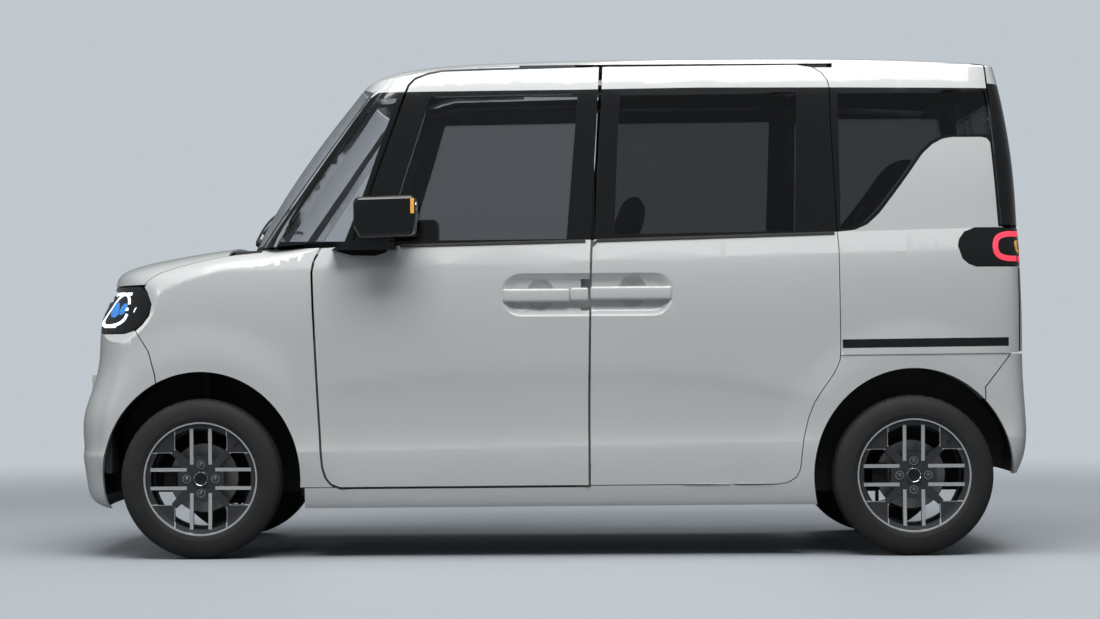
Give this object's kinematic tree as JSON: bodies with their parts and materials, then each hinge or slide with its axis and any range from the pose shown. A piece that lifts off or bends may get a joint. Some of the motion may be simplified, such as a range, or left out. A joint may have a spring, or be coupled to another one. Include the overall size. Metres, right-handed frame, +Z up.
{
  "type": "tall wagon kei car",
  "caption": "Small tall-wagon car with sloping bonnet, upright tail, hinged front doors, sliding rear door panels, lifting tailgate and steered front wheels.",
  "frame": {"origin": "on the ground, at mid-length on the centreline", "axes": "+X towards the rear of the car, +Y towards its right side, +Z up; the near side in the picture is -Y"},
  "size_m": [3.3975, 1.86, 1.7843],
  "materials": {
    "paint": "pearl white gloss paint",
    "tinted_glass": "dark tinted glass",
    "clear_glass": "clear laminated glass",
    "lamp_black": "gloss black",
    "chassis": "black underbody coating",
    "black_plastic": "grained black",
    "cloth": "dark grey woven cloth",
    "tyre": "matte black rubber",
    "rim": "machined faces over dark grey paint",
    "brake": "ground braking faces"
  },
  "bodies": {
    "car_body": {"body_side_left": "paint", "body_side_right": "paint", "corner_windows": "tinted_glass", "cowl": "black_plastic", "crossmember": "chassis", "dashboard": "black_plastic", "engine_block": "chassis", "floor_pan": "chassis", "front_bumper": "paint", "front_fenders": "paint", "front_rail_left": "chassis", "front_rail_right": "chassis", "front_seat_backs": "cloth", "front_seat_cushions": "cloth", "grille": "lamp_black", "headlamps": "lamp_black", "headrests": "cloth", "lamp_panel": "chassis", "lower_arms": "chassis", "quarter_windows": "tinted_glass", "rear_axle": "chassis", "rear_bumper": "paint", "rear_seat_back": "cloth", "rear_seat_cushion": "cloth", "roof": "paint", "seat_bases": "black_plastic", "sliding_door_glass": "tinted_glass", "sliding_door_left": "paint", "sliding_door_right": "paint", "steering_column": "black_plastic", "tail_lamps": "lamp_black", "tailgate_frame": "chassis", "wheel_arch_liners_left": "black_plastic", "wheel_arch_liners_right": "black_plastic", "windscreen": "clear_glass"},
    "front_door_left": {"front_door_left": "paint", "front_door_glass_left": "tinted_glass", "mirror_left": "lamp_black"},
    "front_door_right": {"front_door_right": "paint", "front_door_glass_right": "tinted_glass", "mirror_right": "lamp_black"},
    "bonnet": {"bonnet": "paint"},
    "tailgate": {"tailgate": "paint", "tailgate_glass": "tinted_glass"},
    "knuckle_left": {"knuckle_left": "chassis"},
    "knuckle_right": {"knuckle_right": "chassis"},
    "steering_wheel": {"steering_wheel": "black_plastic"},
    "wheel_front_left": {"tyre_front_left": "tyre", "rim_front_left": "rim", "brake_disc_front_left": "brake"},
    "wheel_front_right": {"tyre_front_right": "tyre", "rim_front_right": "rim", "brake_disc_front_right": "brake"},
    "wheel_rear_left": {"tyre_rear_left": "tyre", "rim_rear_left": "rim", "brake_disc_rear_left": "brake"},
    "wheel_rear_right": {"tyre_rear_right": "tyre", "rim_rear_right": "rim", "brake_disc_rear_right": "brake"}
  },
  "joints": [
    {"name": "front_door_left_hinge", "type": "hinge", "parent": "car_body", "child": "front_door_left", "pos_m": [-0.785, -0.716, 0.8], "axis": [0, 0, -1], "range_deg": [0, 68]},
    {"name": "front_door_right_hinge", "type": "hinge", "parent": "car_body", "child": "front_door_right", "pos_m": [-0.785, 0.716, 0.8], "axis": [0, 0, 1], "range_deg": [0, 68]},
    {"name": "bonnet_hinge", "type": "hinge", "parent": "car_body", "child": "bonnet", "pos_m": [-1.19, 0, 1.062], "axis": [0, 1, 0], "range_deg": [0, 50]},
    {"name": "tailgate_hinge", "type": "hinge", "parent": "car_body", "child": "tailgate", "pos_m": [1.56, 0, 1.738], "axis": [0, -1, 0], "range_deg": [0, 85]},
    {"name": "steer_left", "type": "hinge", "parent": "car_body", "child": "knuckle_left", "pos_m": [-1.223, -0.56, 0.19], "axis": [0, 0.0454, 0.999], "range_deg": [-35, 35]},
    {"name": "steer_right", "type": "hinge", "parent": "car_body", "child": "knuckle_right", "pos_m": [-1.223, 0.56, 0.19], "axis": [0, -0.0454, 0.999], "range_deg": [-35, 35]},
    {"name": "steering_wheel_turn", "type": "hinge", "parent": "car_body", "child": "steering_wheel", "pos_m": [-0.545, 0.34, 1.005], "axis": [0.891, 0, 0.454], "range_deg": [-560, 560]},
    {"name": "wheel_front_left_spin", "type": "hinge", "parent": "knuckle_left", "child": "wheel_front_left", "pos_m": [-1.223, -0.65, 0.281], "axis": [0, 1, 0], "continuous": true},
    {"name": "wheel_front_right_spin", "type": "hinge", "parent": "knuckle_right", "child": "wheel_front_right", "pos_m": [-1.223, 0.65, 0.281], "axis": [0, 1, 0], "continuous": true},
    {"name": "wheel_rear_left_spin", "type": "hinge", "parent": "car_body", "child": "wheel_rear_left", "pos_m": [1.272, -0.65, 0.281], "axis": [0, 1, 0], "continuous": true},
    {"name": "wheel_rear_right_spin", "type": "hinge", "parent": "car_body", "child": "wheel_rear_right", "pos_m": [1.272, 0.65, 0.281], "axis": [0, 1, 0], "continuous": true}
  ],
  "couplings": [
    {"joint": "steer_right", "follows": "steer_left", "ratio": 1},
    {"joint": "steering_wheel_turn", "follows": "steer_left", "ratio": 16}
  ]
}
